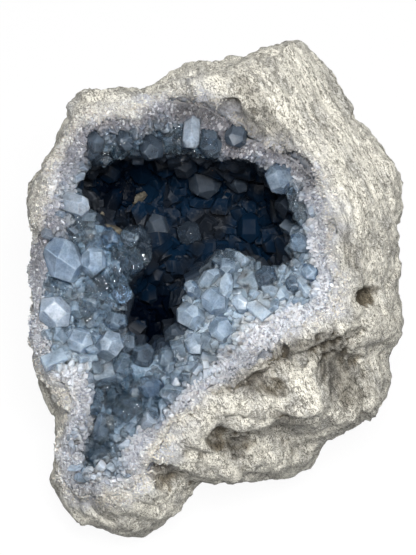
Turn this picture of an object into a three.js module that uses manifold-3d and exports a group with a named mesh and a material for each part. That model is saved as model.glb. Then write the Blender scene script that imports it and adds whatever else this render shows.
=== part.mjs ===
// A celestite geode: a lumpy limestone nodule, broken open across its front, whose hollow is lined with
// sky-blue celestite. Millimetres, +Z up, opening tilted towards -Y.
//
// Everything is shaped in the geode's own frame, lying on its back: +X right, +Y along the opening,
// +Z straight out of the opening, and z = 0 in the plane of the mouth. The finished geode is then leaned
// forwards by LEAN and set down on the flat that is worn on its underside.
import * as THREE from 'three';
import { ImprovedNoise } from 'three/addons/math/ImprovedNoise.js';
import { mergeVertices } from 'three/addons/utils/BufferGeometryUtils.js';
import Module from 'manifold-3d';

const wasm = await Module();
wasm.setup();

// ---------------------------------------------------------------- driving dimensions
const LEAN = THREE.MathUtils.degToRad(35); // how far the opening's axis leans from upright
const FLOOR = -116; // the resting plane, below the middle of the mouth
const GAP = 0.3; // clearance between pieces that sit in each other
const ROOT = 3; // how deep a crystal is rooted in the lining, plus a quarter of its width
const EYE = new THREE.Vector3(0, 0, 900); // crystals are placed by looking into the mouth from here

const NODULE = {
  centre: new THREE.Vector3(0, 0, -50), // in the plane of the widest section
  rise: 68, // from the widest section to the front
  drop: 82, // from the widest section to the back
  fullness: 2.8, // 2 is an ellipsoid, more is boxier
  edge: 26, // how sharply facets meet
  detail: 10,
  // The widest section, seen from the front, counterclockwise from the right.
  outline: [
    [91, 0], [91, 22], [92, 52], [82, 71], [69, 84], [61, 108], [50, 121], [35, 125], [20, 113],
    [0, 108], [-24, 100], [-40, 94], [-62, 96], [-73, 86], [-78, 71], [-92, 48], [-91, 34],
    [-90, 20], [-91, -5], [-91, -32], [-83, -56], [-76, -70], [-83, -96], [-70, -112], [-54, -123],
    [-36, -126], [-19, -112], [-7, -98], [17, -96], [40, -93], [60, -76], [80, -62], [92, -35],
  ],
  // Broken faces: a direction out of the rock, and the distance from the centre to the plane.
  facets: [
    { out: [-0.1, 0.12, 0.99], at: 58 }, // broken rim, upper left
    { out: [0.5, 0.45, 0.74], at: 87 }, // long striated bevel on the right
    { out: [0.75, -0.1, 0.65], at: 80 }, // right flank
    { out: [0.1, -0.25, 0.96], at: 70 }, // front, under the mouth
    { out: [0.35, -0.75, 0.56], at: 90 }, // lower right, above the resting plane
    { out: [-0.6, -0.5, 0.62], at: 110 }, // left of the foot
    { out: [0.55, 0.55, -0.63], at: 92 },
    { out: [-0.75, 0.2, -0.63], at: 86 },
    { out: [-0.2, 0.85, -0.5], at: 100 },
    { out: [0.8, -0.25, -0.55], at: 88 },
  ],
  // Knobs and ridges stand out and hollows and grooves go in: where, or from where to where, how far, and
  // how wide. Two numbers are a place on the front, three are a place in space.
  lumps: [
    { at: [-68, 92, -50], height: 4, width: 8 },
    { at: [-46, 96, -48], height: 5, width: 8 },
    { at: [-14, 105, -50], height: 6, width: 8 },
    { at: [6, 110, -52], height: 4, width: 7 },
    { at: [76, 76, -66], height: 6, width: 12 },
    { at: [-90, 44, -48], height: 3, width: 9 },
    { at: [73, -5], height: -9, width: 5 }, // the pit beside the mouth
    { at: [10, -50], to: [62, -16], height: 5, width: 9 }, // ledge under the mouth
    { at: [26, -46], to: [86, -34], height: -6, width: 7 },
    { at: [60, -52], height: -9, width: 9 },
    { at: [-6, -62], to: [44, -56], height: 5, width: 9 },
    { at: [2, -75], to: [36, -76], height: -8, width: 7 },
    { at: [-6, -88], to: [42, -86], height: 4, width: 7 },
    { at: [-36, -89], to: [-14, -97], height: -6, width: 7 },
    { at: [-30, -78], to: [-12, -76], height: 4, width: 8 },
    { at: [-62, -108], to: [-24, -106], height: 5, width: 9 },
    { at: [62, 10], to: [80, -24], height: 4, width: 10 },
  ],
  noise: { height: 2.4, scale: 24, seed: 3.1 },
};

// The hollow in the rock, which the lining fills.
const HOLLOW = {
  centre: new THREE.Vector3(-15, 15, 0),
  rise: 90,
  drop: 90,
  fullness: 2.8,
  edge: 12,
  detail: 5,
  outline: [
    [57, 2], [51, 17], [53, 28], [50, 45], [40, 59], [26, 65], [12, 74], [0, 85], [-12, 88],
    [-28, 88], [-34, 80], [-50, 79], [-64, 76], [-73, 64], [-76, 50], [-80, 32], [-90, 16],
    [-92, -7], [-90, -26], [-84, -41], [-68, -48], [-66, -60], [-78, -74], [-92, -90], [-86, -102],
    [-60, -106], [-42, -104], [-34, -84], [-26, -72], [-17, -60], [0, -47], [12, -41], [22, -31],
    [36, -21], [52, -11],
  ],
  facets: [
    { out: [0, -0.6, -0.8], at: 92 }, // under the channel
    { out: [-0.62, -0.1, -0.78], at: 82 }, // behind the crystals on the left
  ],
  lumps: [],
  noise: { height: 1.6, scale: 18, seed: 7.7 },
};

// The broken mouth slopes in like a bowl, and its edge is the crest round the opening.
const MOUTH = {
  centre: new THREE.Vector3(-14, 12, 12),
  rise: 60,
  drop: 37,
  fullness: 2,
  edge: 12,
  detail: 6,
  outline: [
    [60, 0], [58, 17], [57, 34], [52, 52], [41, 73], [28, 89], [15, 99], [5, 99], [-7, 97],
    [-31, 94], [-66, 92], [-77, 80], [-78, 66], [-80, 55], [-85, 40], [-92, 28], [-96, 10],
    [-96, -8], [-95, -26], [-88, -43], [-71, -49], [-69, -60], [-76, -74], [-82, -88], [-76, -98],
    [-60, -105], [-38, -104], [-35, -86], [-24, -74], [-14, -60], [-3, -51], [13, -42], [24, -32],
    [38, -20], [54, -10],
  ],
  facets: [],
  lumps: [
    { at: [-56, 6], to: [-38, 2], height: -6, width: 15 }, // the mound of crystals on the left
    { at: [-74, -30], height: -4, width: 10 },
    { at: [-24, -44], to: [-36, -66], height: -5, width: 9 }, // the bank right of the channel
    { at: [-8, -18], to: [24, -4], height: -5, width: 12 }, // the lower lip
  ],
  noise: { height: 1.6, scale: 14, seed: 5.3 },
};

// The free space inside the lining: the deep pit, a pocket under the mound, and the channel that runs
// down to the foot.
const PIT = {
  centre: new THREE.Vector3(-12, 36, -34),
  rise: 60,
  drop: 40,
  fullness: 2.8,
  edge: 12,
  detail: 5,
  outline: [
    [40, 35], [40, 20], [38, 6], [22, 6], [6, 11], [-9, -2], [-17, 0], [-29, 9], [-40, 17],
    [-52, 28], [-66, 34], [-69, 47], [-62, 60], [-45, 66], [-26, 65], [-5, 63], [19, 61], [34, 50],
  ],
  facets: [],
  lumps: [{ at: [-58, 45, -60], height: -5, width: 14 }],
  noise: { height: 2.2, scale: 15, seed: 1.9 },
};
const POCKET = {
  centre: new THREE.Vector3(-26, -8, -42),
  rise: 44,
  drop: 34,
  fullness: 3,
  edge: 12,
  detail: 3,
  outline: [[-8, 8], [-14, -8], [-18, -24], [-30, -33], [-42, -28], [-47, -12], [-40, 8], [-22, 20]],
  facets: [],
  lumps: [],
  noise: { height: 1, scale: 12, seed: 4.4 },
};
const CHANNEL = {
  centre: new THREE.Vector3(-52, -58, -10),
  rise: 60,
  drop: 16,
  fullness: 2,
  edge: 12,
  detail: 4,
  outline: [
    [-30, -26], [-36, -42], [-44, -56], [-50, -70], [-54, -86], [-60, -92], [-65, -84], [-63, -66],
    [-60, -52], [-60, -40], [-48, -26],
  ],
  facets: [],
  lumps: [],
  noise: { height: 1.4, scale: 12, seed: 9.2 },
};

// ---------------------------------------------------------------- rounded, faceted bodies
// Distance from the centre to the outline, for an angle about +Z.
function outlineReach(outline, centre) {
  const points = outline.map(([x, y]) => new THREE.Vector3(x - centre.x, y - centre.y, 0));
  const ring = new THREE.CatmullRomCurve3(points, true, 'centripetal').getSpacedPoints(360);
  return (angle) => {
    const way = new THREE.Vector2(Math.cos(angle), Math.sin(angle));
    let reach = 0;
    for (let i = 0; i < ring.length - 1; i++) {
      const [a, b] = [ring[i], ring[i + 1]];
      const [sideA, sideB] = [way.x * a.y - way.y * a.x, way.x * b.y - way.y * b.x];
      if (sideA * sideB > 0 || sideA === sideB) continue;
      const t = sideA / (sideA - sideB);
      const along = (a.x + t * (b.x - a.x)) * way.x + (a.y + t * (b.y - a.y)) * way.y;
      reach = Math.max(reach, along);
    }
    return reach;
  };
}

// Three octaves of smooth noise, about -1 to 1.
const noise = new ImprovedNoise();
function roughness(p, { scale, seed }) {
  let sum = 0;
  for (let octave = 0; octave < 3; octave++) {
    const f = 2 ** octave / scale;
    sum += noise.noise(p.x * f + seed, p.y * f - seed, p.z * f + 2 * seed) / 2 ** octave;
  }
  return sum;
}

// How far a lump lifts the surface at a spot.
function lumpAt(spot, { at, to = at, height, width }) {
  const onFront = at.length === 2;
  const place = onFront ? new THREE.Vector3(spot.x, spot.y, Math.min(0, spot.z + 50)) : spot;
  const line = new THREE.Line3(new THREE.Vector3(...at), new THREE.Vector3(...to));
  const nearest = line.closestPointToPoint(place, true, new THREE.Vector3());
  return height * Math.exp(-((place.distanceTo(nearest) / width) ** 2));
}

// A closed body round shape.centre: its section is the outline, its front and back are rounded, and its
// facets, lumps and noise are worked in. grow pushes the whole surface outwards.
function body(shape, grow = 0) {
  const { centre, rise, drop, fullness, edge } = shape;
  const reachAt = outlineReach(shape.outline, centre);
  const geometry = new THREE.IcosahedronGeometry(1, shape.detail);
  const position = geometry.getAttribute('position');
  const way = new THREE.Vector3();
  const spot = new THREE.Vector3();
  for (let i = 0; i < position.count; i++) {
    way.fromBufferAttribute(position, i).normalize();
    const side = Math.hypot(way.x, way.y) / reachAt(Math.atan2(way.y, way.x));
    const depth = Math.abs(way.z) / (way.z > 0 ? rise : drop);
    let radius = (side ** fullness + depth ** fullness) ** (-1 / fullness);
    let closeness = radius ** -edge;
    for (const { out, at } of shape.facets) {
      const facing = way.dot(spot.fromArray(out).normalize());
      if (facing > 0) closeness += (facing / at) ** edge;
    }
    radius = closeness ** (-1 / edge);
    spot.copy(way).multiplyScalar(radius).add(centre);
    radius += grow + shape.noise.height * roughness(spot, shape.noise);
    for (const lump of shape.lumps) radius += lumpAt(spot, lump);
    spot.copy(way).multiplyScalar(radius).add(centre);
    position.setXYZ(i, spot.x, spot.y, spot.z);
  }
  return geometry;
}

// ---------------------------------------------------------------- solids
function toSolid(geometry) {
  const bare = geometry.clone();
  bare.deleteAttribute('normal');
  bare.deleteAttribute('uv');
  const merged = mergeVertices(bare, 1e-4);
  return new wasm.Manifold(
    new wasm.Mesh({
      numProp: 3,
      vertProperties: new Float32Array(merged.getAttribute('position').array),
      triVerts: new Uint32Array(merged.index.array),
    }),
  );
}

function toGeometry(solid) {
  const { vertProperties, triVerts } = solid.getMesh();
  const geometry = new THREE.BufferGeometry();
  geometry.setAttribute('position', new THREE.BufferAttribute(new Float32Array(vertProperties), 3));
  geometry.setIndex(new THREE.BufferAttribute(new Uint32Array(triVerts), 1));
  geometry.computeVertexNormals();
  return geometry;
}

// A block under the resting plane, in the geode's own leaned frame.
function ground() {
  const size = 600;
  const block = new THREE.BoxGeometry(size, size, size);
  block.translate(0, 0, FLOOR - size / 2);
  return toSolid(block.rotateX(-LEAN));
}

function largest(solid) {
  return solid.decompose().sort((a, b) => b.volume() - a.volume())[0];
}

function joined(solids) {
  return solids.reduce((whole, solid) => whole.add(solid));
}

const nodule = toSolid(body(NODULE)).subtract(toSolid(body(MOUTH)));
const cavity = joined([PIT, POCKET, CHANNEL].map((shape) => toSolid(body(shape))));
const bareMatrix = largest(nodule.subtract(toSolid(body(HOLLOW))).subtract(ground()));
const bareLining = largest(toSolid(body(HOLLOW, -GAP)).intersect(nodule).subtract(cavity));

// ---------------------------------------------------------------- crystals
// The faces of a celestite crystal that grows along +Z, and how far each lies from the axis or the tip when
// the crystal is 1 wide. Each face is repeated by the crystal's own mirror planes.
const FACES = {
  broad: [1, 0, 0],
  side: [0.614, 0.789, 0],
  roof: [0, 0.616, 0.788],
  gable: [0.773, 0, 0.634],
  top: [0, 0, 1],
};
const HABITS = {
  pointed: { broad: 0.42, side: 0.5, roof: 0, gable: 0.02 },
  wedge: { broad: 0.5, side: 0.44, roof: -0.02, gable: 0.12 },
  blunt: { broad: 0.46, side: 0.46, roof: 0.02, gable: 0.06, top: -0.18 },
};

function mirrored([x, y, z]) {
  const turned = [[x, y, z], [-x, y, z], [x, -y, z], [-x, -y, z]];
  return turned.filter((a, i) => turned.findIndex((b) => a[0] === b[0] && a[1] === b[1]) === i);
}

// A block that removes everything beyond a plane.
function beyond(out, at, size) {
  const block = new THREE.BoxGeometry(size, size, size).translate(0, 0, at + size / 2);
  const turn = new THREE.Quaternion().setFromUnitVectors(new THREE.Vector3(0, 0, 1), out);
  return toSolid(block.applyQuaternion(turn));
}

// A crystal that stands on z = 0 and grows along +Z: a block, ground down face by face. swell moves every
// face outwards.
function crystalSolid({ width, length, habit }, swell) {
  const root = ROOT + width / 4;
  const size = 4 * (width + length);
  const block = new THREE.BoxGeometry(2 * width, 2 * width, length + width + root + swell);
  let solid = toSolid(block.translate(0, 0, (length + width - root - swell) / 2));
  for (const [face, distance] of Object.entries(HABITS[habit])) {
    const at = FACES[face][2] * length + distance * width + swell;
    for (const out of mirrored(FACES[face])) {
      solid = solid.subtract(beyond(new THREE.Vector3(...out).normalize(), at, size));
    }
  }
  return solid;
}

// A chip of stone, longest along +Z.
function splinterSolid({ width, length }, swell) {
  const geometry = new THREE.IcosahedronGeometry(1, 0);
  return toSolid(geometry.scale(width / 2 + swell, width / 3 + swell, length / 2 + swell));
}

// Crystals by region. at: where its foot shows in the plane of the mouth; toward: where it points; turn:
// degrees about its own axis.
const CRYSTALS = {
  left_rim: [
    { at: [-72, 12], toward: [-0.15, 0.1, 1], width: 19, length: 13, turn: 20, habit: 'pointed' },
    { at: [-69, 39], toward: [0.85, -0.25, 0.5], width: 9, length: 12, turn: 10, habit: 'pointed' },
    { at: [-76, -13], toward: [0.1, 0.1, 1], width: 16, length: 9, turn: 45, habit: 'blunt' },
    { at: [-64, -27], toward: [-0.1, 0.5, 1], width: 13, length: 9, turn: 70, habit: 'blunt' },
    { at: [-51, -29], toward: [0.4, 0.3, 0.9], width: 11, length: 11, turn: 15, habit: 'wedge' },
    { at: [-62, 55], toward: [0.8, -0.3, 0.5], width: 8, length: 9, turn: 50, habit: 'blunt' },
  ],
  mound: [
    { at: [-58, 11], toward: [0.3, 0.3, 1], width: 12, length: 8, turn: 0, habit: 'blunt' },
    { at: [-50, 22], toward: [0.3, 0.6, 0.8], width: 9, length: 7, turn: 35, habit: 'pointed' },
    { at: [-40, 9], toward: [0.5, 0.5, 0.8], width: 9, length: 8, turn: 60, habit: 'blunt' },
    { at: [-30, 4], toward: [0.8, 0.3, 0.5], width: 9, length: 8, turn: 20, habit: 'pointed' },
    { at: [-44, -4], toward: [0.2, 0.1, 1], width: 10, length: 6, turn: 80, habit: 'wedge' },
    { at: [-33, -4], toward: [0.6, -0.1, 0.8], width: 9, length: 8, turn: 10, habit: 'blunt' },
    { at: [-47, -17], toward: [0.5, -0.2, 0.8], width: 10, length: 7, turn: 25, habit: 'wedge' },
  ],
  top_rim: [
    { at: [-11, 76], toward: [-0.05, -0.75, 0.6], width: 8, length: 15, turn: 0, habit: 'wedge' },
    { at: [-3, 68], toward: [0.1, -0.6, 0.7], width: 12, length: 9, turn: 30, habit: 'blunt' },
    { at: [10, 71], toward: [-0.2, -0.7, 0.7], width: 9, length: 8, turn: 70, habit: 'pointed' },
    { at: [-30, 66], toward: [0.1, -0.7, 0.6], width: 11, length: 9, turn: 15, habit: 'wedge' },
    { at: [-43, 69], toward: [0.2, -0.6, 0.7], width: 8, length: 7, turn: 40, habit: 'blunt' },
    { at: [-57, 68], toward: [0.4, -0.5, 0.7], width: 9, length: 7, turn: 0, habit: 'blunt' },
  ],
  right_rim: [
    { at: [31, 51], toward: [-0.5, -0.3, 0.8], width: 13, length: 10, turn: 20, habit: 'blunt' },
    { at: [36, 35], toward: [-0.7, 0, 0.7], width: 12, length: 9, turn: 65, habit: 'wedge' },
    { at: [41, 20], toward: [-0.7, 0.2, 0.7], width: 8, length: 8, turn: 10, habit: 'pointed' },
    { at: [45, 6], toward: [-0.4, 0.2, 0.9], width: 8, length: 6, turn: 35, habit: 'blunt' },
  ],
  lip: [
    { at: [-10, -3], toward: [-0.3, 0.4, 0.8], width: 7, length: 9, turn: 30, habit: 'blunt' },
    { at: [6, 6], toward: [-0.1, 0.6, 0.8], width: 9, length: 10, turn: 0, habit: 'blunt' },
    { at: [24, 3], toward: [0.1, 0.6, 0.7], width: 10, length: 8, turn: 75, habit: 'wedge' },
    { at: [37, 0], toward: [-0.1, 0.5, 0.8], width: 8, length: 6, turn: 20, habit: 'blunt' },
    { at: [0, -8], toward: [-0.3, 0.5, 0.9], width: 13, length: 8, turn: 50, habit: 'blunt' },
    { at: [-11, -15], toward: [-0.5, 0.3, 0.8], width: 11, length: 9, turn: 10, habit: 'wedge' },
    { at: [12, -9], toward: [-0.2, 0.4, 1], width: 8, length: 7, turn: 40, habit: 'pointed' },
    { at: [3, -21], toward: [-0.3, 0.3, 1], width: 11, length: 6, turn: 80, habit: 'wedge' },
    { at: [-9, -28], toward: [-0.5, 0.2, 0.9], width: 11, length: 7, turn: 35, habit: 'blunt' },
    { at: [-22, -35], toward: [-0.4, 0.4, 0.9], width: 10, length: 8, turn: 5, habit: 'pointed' },
  ],
  channel: [
    { at: [-46, -42], toward: [0.2, 0.3, 1], width: 11, length: 7, turn: 60, habit: 'blunt' },
    { at: [-34, -33], toward: [-0.1, 0.4, 0.9], width: 11, length: 7, turn: 25, habit: 'wedge' },
    { at: [-30, -49], toward: [-0.3, 0.3, 1], width: 12, length: 9, turn: 45, habit: 'blunt' },
    { at: [-18, -45], toward: [-0.1, 0.3, 1], width: 8, length: 7, turn: 0, habit: 'pointed' },
    { at: [-30, -61], toward: [-0.2, 0.1, 1], width: 8, length: 6, turn: 70, habit: 'blunt' },
    { at: [-58, -58], toward: [0.2, 0.2, 1], width: 9, length: 6, turn: 30, habit: 'wedge' },
    { at: [-61, -79], toward: [0.2, 0.2, 1], width: 8, length: 5, turn: 50, habit: 'blunt' },
  ],
  far_wall: [
    { at: [-5, 50], toward: [0.1, -0.3, 1], width: 18, length: 10, turn: 10, habit: 'blunt' },
    { at: [11, 49], toward: [-0.2, -0.2, 1], width: 11, length: 9, turn: 50, habit: 'pointed' },
    { at: [-28, 27], toward: [0.3, 0.1, 1], width: 13, length: 9, turn: 20, habit: 'blunt' },
    { at: [-12, 24], toward: [-0.1, 0.2, 1], width: 13, length: 8, turn: 65, habit: 'wedge' },
    { at: [-36, 54], toward: [0.2, -0.2, 1], width: 12, length: 9, turn: 30, habit: 'pointed' },
    { at: [17, 27], toward: [-0.2, 0.1, 1], width: 15, length: 8, turn: 0, habit: 'blunt' },
    { at: [28, 19], toward: [-0.5, 0.2, 0.8], width: 11, length: 7, turn: 35, habit: 'wedge' },
    { at: [-51, 54], toward: [0.5, -0.2, 0.8], width: 12, length: 8, turn: 60, habit: 'blunt' },
    { at: [4, 14], toward: [0, 0.4, 0.9], width: 9, length: 7, turn: 15, habit: 'pointed' },
  ],
};

// Splinters of limestone that broke off and lie in the druse.
const SPLINTERS = [
  { at: [-48, 26], toward: [0.93, -0.35, 0.1], width: 7, length: 15, turn: 0 },
  { at: [-54, 32], toward: [0.3, 0.8, 0.5], width: 4, length: 8, turn: 30 },
  { at: [-36, 41], toward: [0.7, 0.5, 0.2], width: 8, length: 11, turn: 50 },
];

// Where the line of sight through a spot in the plane of the mouth meets the lining.
const liningMesh = new THREE.Mesh(toGeometry(bareLining));
function footOn(at) {
  const sight = new THREE.Vector3(at[0], at[1], 0).sub(EYE).normalize();
  return new THREE.Raycaster(EYE, sight).intersectObject(liningMesh)[0].point;
}

// Stands a solid that is made along +Z on the lining.
function stand(solid, { at, toward, turn }) {
  const axis = new THREE.Vector3(...toward).normalize();
  const spin = new THREE.Quaternion().setFromAxisAngle(axis, THREE.MathUtils.degToRad(turn));
  const aim = new THREE.Quaternion().setFromUnitVectors(new THREE.Vector3(0, 0, 1), axis);
  const pose = new THREE.Matrix4().compose(footOn(at), spin.multiply(aim), new THREE.Vector3(1, 1, 1));
  return solid.transform(pose.elements);
}

// Crystals that run into each other have grown together, so they are joined in one piece.
function grownTogether(regions) {
  let pieces = [];
  for (const [region, crystals] of Object.entries(regions)) {
    for (const crystal of crystals) {
      const grown = (swell) => stand(crystalSolid(crystal, swell), crystal);
      let piece = { region, count: 1, solid: grown(0), socket: grown(GAP) };
      const met = pieces.filter(({ socket }) => socket.intersect(piece.socket).volume() > 0);
      if (met.length > 0) piece = { ...piece, solid: grown(2 * GAP), socket: grown(3 * GAP) };
      for (const other of met) {
        piece = {
          region: other.region,
          count: piece.count + other.count,
          solid: piece.solid.add(other.solid),
          socket: piece.socket.add(other.socket),
        };
      }
      pieces = [...pieces.filter((other) => !met.includes(other)), piece];
    }
  }
  return pieces;
}

const crystals = grownTogether(CRYSTALS);
const crystalSockets = joined(crystals.map(({ socket }) => socket));
const splinters = SPLINTERS.map((splinter) => {
  const solid = stand(splinterSolid(splinter, 0), splinter).subtract(crystalSockets);
  return { solid: largest(solid), socket: stand(splinterSolid(splinter, GAP), splinter) };
});
const sockets = joined([crystalSockets, ...splinters.map(({ socket }) => socket)]);

// ---------------------------------------------------------------- the assembly
const limestone = new THREE.MeshStandardMaterial({ color: 0xc8c4b6, roughness: 0.95 });
const druse = new THREE.MeshStandardMaterial({ color: 0x9fb0c4, roughness: 0.35 });
const celestite = new THREE.MeshStandardMaterial({ color: 0x9db8d2, roughness: 0.1 });
const tanStone = new THREE.MeshStandardMaterial({ color: 0xa0937a, roughness: 0.8 });

const geode = new THREE.Group();
const namesakes = {};
function place(name, solid, material) {
  const mesh = new THREE.Mesh(toGeometry(solid), material.clone());
  mesh.name = name;
  geode.add(mesh);
}
function placeNumbered(stem, solid, material) {
  namesakes[stem] = (namesakes[stem] ?? 0) + 1;
  place(`${stem}_${namesakes[stem]}`, solid, material);
}

place('matrix', largest(bareMatrix.subtract(sockets)), limestone);
place('druse_lining', largest(bareLining.subtract(sockets)), druse);
for (const { region, count, solid } of crystals) {
  placeNumbered(`${region}_${count > 1 ? 'cluster' : 'crystal'}`, solid, celestite);
}
for (const { solid } of splinters) placeNumbered('limestone_splinter', solid, tanStone);

// Lean the geode forwards and put the middle of its footprint at the origin.
const part = new THREE.Group();
geode.rotation.x = LEAN;
part.add(geode);
part.updateMatrixWorld(true);
const box = new THREE.Box3().setFromObject(part, true);
geode.position.set(-(box.min.x + box.max.x) / 2, -(box.min.y + box.max.y) / 2, -box.min.z);

export default part;
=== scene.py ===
# %% [markdown]
# # A celestite geode
# The real thing is a lump of limestone, about as big as a melon, that was broken open. Its hollow is lined
# with sky-blue celestite: a fine white crust beside the rock, and larger, clearer crystals further in. It
# lies on the flat of its underside and leans forwards, so that one looks down into the mouth.
#
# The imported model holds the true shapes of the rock, the lining and each large crystal. This notebook keeps
# them and adds what a solid model can't hold: broken stone, thousands of small crystals, and their looks.

# %% Load the fixed frame
import math

import bmesh
import bpy
import numpy as np
from mathutils import Matrix, Vector, noise
from mathutils.bvhtree import BVHTree
from mathutils.kdtree import KDTree


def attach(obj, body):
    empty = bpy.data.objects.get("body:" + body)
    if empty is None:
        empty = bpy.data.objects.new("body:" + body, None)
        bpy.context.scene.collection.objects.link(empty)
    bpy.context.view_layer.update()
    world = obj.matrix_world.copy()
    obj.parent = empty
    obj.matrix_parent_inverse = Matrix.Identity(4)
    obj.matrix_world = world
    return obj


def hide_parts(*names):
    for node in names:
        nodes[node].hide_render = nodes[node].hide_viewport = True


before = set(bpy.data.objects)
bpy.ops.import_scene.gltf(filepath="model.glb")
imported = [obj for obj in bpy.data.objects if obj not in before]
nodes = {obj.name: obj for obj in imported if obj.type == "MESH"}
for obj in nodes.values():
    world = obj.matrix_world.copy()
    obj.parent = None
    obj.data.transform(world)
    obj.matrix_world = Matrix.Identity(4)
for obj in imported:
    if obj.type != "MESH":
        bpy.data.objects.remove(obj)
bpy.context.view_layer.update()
MM = 0.001


def placed(name, data):
    """A new object in the scene, with this mesh, lamp or camera."""
    thing = bpy.data.objects.new(name, data)
    bpy.context.scene.collection.objects.link(thing)
    return thing


def meshed(name, shape):
    """A new object with a bmesh's faces."""
    mesh = bpy.data.meshes.new(name)
    shape.to_mesh(mesh)
    return placed(name, mesh)


print("the frame holds", len(nodes), "pieces")

# %% [markdown]
# ## The geode's own frame, and the camera
# The geode was shaped lying on its back, with +X to the right, +Y up along the mouth and +Z straight out of
# it, and was then leaned forwards. Places are easiest to give in that frame, in millimetres, and two small
# functions turn points into it and directions out of it. The camera looks straight into the mouth from
# 90 cm away, through a long lens, which keeps the rock's proportions.

# %% The geode's frame
LEAN = math.radians(35)
MOUTH = Vector((-0.118, -22.575, 116.0))
to_room = Matrix.Scale(MM, 4) @ Matrix.Translation(MOUTH) @ Matrix.Rotation(LEAN, 4, "X")
to_geode = to_room.inverted()
print("the mouth's middle is", [round(x / 10, 1) for x in MOUTH], "cm from the floor's")


def in_geode(points):
    """Points of the room, in metres, as an array in the geode's frame, in millimetres."""
    turn = np.array(to_geode)
    return np.asarray(points) @ turn[:3, :3].T + turn[:3, 3]


def towards(direction):
    """A direction of the geode's frame, seen in the room."""
    return (Matrix.Rotation(LEAN, 3, "X") @ Vector(direction)).normalized()


# %% Camera
LOOKOUT = Vector((-3.5, 3.75, 900))
camera = placed("camera", bpy.data.cameras.new("camera"))
camera.data.lens = 123.2
camera.matrix_world = Matrix.Translation(MOUTH * MM) @ Matrix.Rotation(LEAN, 4, "X")
camera.matrix_world @= Matrix.Translation(LOOKOUT * MM)
bpy.context.scene.camera = camera
print("camera at", [round(x, 3) for x in camera.matrix_world.translation])

# %% [markdown]
# ## Light
# One large softbox hangs high over the rock and a little in front, so the lower lip of the mouth is bright
# and the far wall falls into shadow. Its image would turn flat facets into glaring tiles, so the crystals
# don't mirror it; four small lamps, which show only as reflections, give them their sparkle. Bright
# surroundings fill the shadows, and the Standard view keeps pale stone pale.

# %% Light
bpy.context.scene.view_settings.view_transform = "Standard"
world = bpy.data.worlds.new("studio")
world.use_nodes = True
sky_light = world.node_tree.nodes["Background"].inputs
sky_light["Color"].default_value = (0.97, 0.98, 1, 1)
sky_light["Strength"].default_value = 0.4
bpy.context.scene.world = world


def softbox(name, place, aim, size, watts):
    """A square area light."""
    lamp = placed(name, bpy.data.lights.new(name, "AREA"))
    lamp.data.size = size
    lamp.data.energy = watts
    lamp.location = place
    lamp.rotation_euler = (Vector(aim) - lamp.location).to_track_quat("-Z", "Y").to_euler()
    return lamp


HEART = (0, -0.02, 0.1)
HIGH = (0.08, -0.36, 0.97)
SPARKLE = 130  # watts for each square metre of a sparkler
overhead = softbox("overhead", HIGH, HEART, 0.35, 14)
overhead.visible_glossy = False
SPARKLERS = [
    # where a small lamp stands that only shows as a glint on a facet, and how wide it is
    (HIGH, 0.16),
    ((-0.62, -0.45, 0.72), 0.13),
    ((0.60, -0.62, 0.62), 0.13),
    ((-0.10, -0.98, 0.32), 0.13),
]
for number, (place, width) in enumerate(SPARKLERS):
    sparkler = softbox(f"sparkler_{number}", place, HEART, width, SPARKLE * width ** 2)
    sparkler.visible_diffuse = sparkler.visible_transmission = False
print("a softbox and", len(SPARKLERS), "sparklers")

# %% [markdown]
# ## Shader arithmetic
# Every finish below is a sum of masks and noises. A small class wraps a node's output, so that it can be
# written as a plain sum: adding, subtracting or multiplying adds a Math node. `make` adds any other node
# from its type, its settings and the values or links of its sockets.

# %% A socket with arithmetic
class Shade:
    """A node's output in a material's node tree, which can be added, subtracted and multiplied."""

    def __init__(self, tree, output=None):
        self.tree = tree
        self.output = output

    def make(self, kind, settings, inputs, output=0):
        node = self.tree.nodes.new("ShaderNode" + kind)
        for name, value in settings.items():
            setattr(node, name, value)
        for name, value in inputs.items():
            if isinstance(value, Shade):
                self.tree.links.new(value.output, node.inputs[name])
            else:
                node.inputs[name].default_value = value
        return Shade(self.tree, node.outputs[output])

    def maths(self, operation, first, second, clamp=False):
        settings = {"operation": operation, "use_clamp": clamp}
        return self.make("Math", settings, {0: first, 1: second})

    def __add__(self, other):
        return self.maths("ADD", self, other)

    def __mul__(self, other):
        return self.maths("MULTIPLY", self, other)

    def __sub__(self, other):
        return self.maths("SUBTRACT", self, other)

    __radd__ = __add__
    __rmul__ = __mul__

    def clamped(self):
        return self.maths("ADD", self, 0.0, clamp=True)

    def between(self, low, high):
        """0 below low, 1 above high, and a smooth rise in between."""
        settings = {"interpolation_type": "SMOOTHSTEP"}
        return self.make("MapRange", settings, {0: self, 1: low, 2: high})

    def mixed(self, first, second, blend="MIX"):
        """The first colour where this is 0, and the second where it is 1."""
        settings = {"data_type": "RGBA", "blend_type": blend}
        return self.make("Mix", settings, {0: self, 6: first, 7: second}, 2)

    def darkened(self, colour, by):
        """The colour where this is 0, and the colour times by where it is 1."""
        return self.mixed(colour, by, "MULTIPLY")


# %% Patterns and finished materials
def blank(name):
    """An empty material, its tree, and the object coordinates in it."""
    material = bpy.data.materials.new(name)
    material.use_nodes = True
    material.node_tree.nodes.clear()
    start = Shade(material.node_tree)
    start.place = start.make("TexCoord", {}, {}, "Object")
    return material, start


def clouds(start, size, detail=3.0, roughness=0.5, place=None):
    """Noise with features about size millimetres apart, 0 to 1."""
    inputs = {
        "Vector": place or start.place,
        "Scale": 1 / (size * MM),
        "Detail": detail,
        "Roughness": roughness,
    }
    return start.make("TexNoise", {}, inputs, "Fac")


def painted(start, *names):
    """Numbers that each vertex or face of the piece carries."""
    return [start.make("Attribute", {"attribute_name": name}, {}, "Fac") for name in names]


def bumped(start, height, depth):
    """A normal that stands and sinks by depth millimetres as height goes from 0 to 1."""
    return start.make("Bump", {}, {"Height": height, "Distance": depth * MM})


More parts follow.
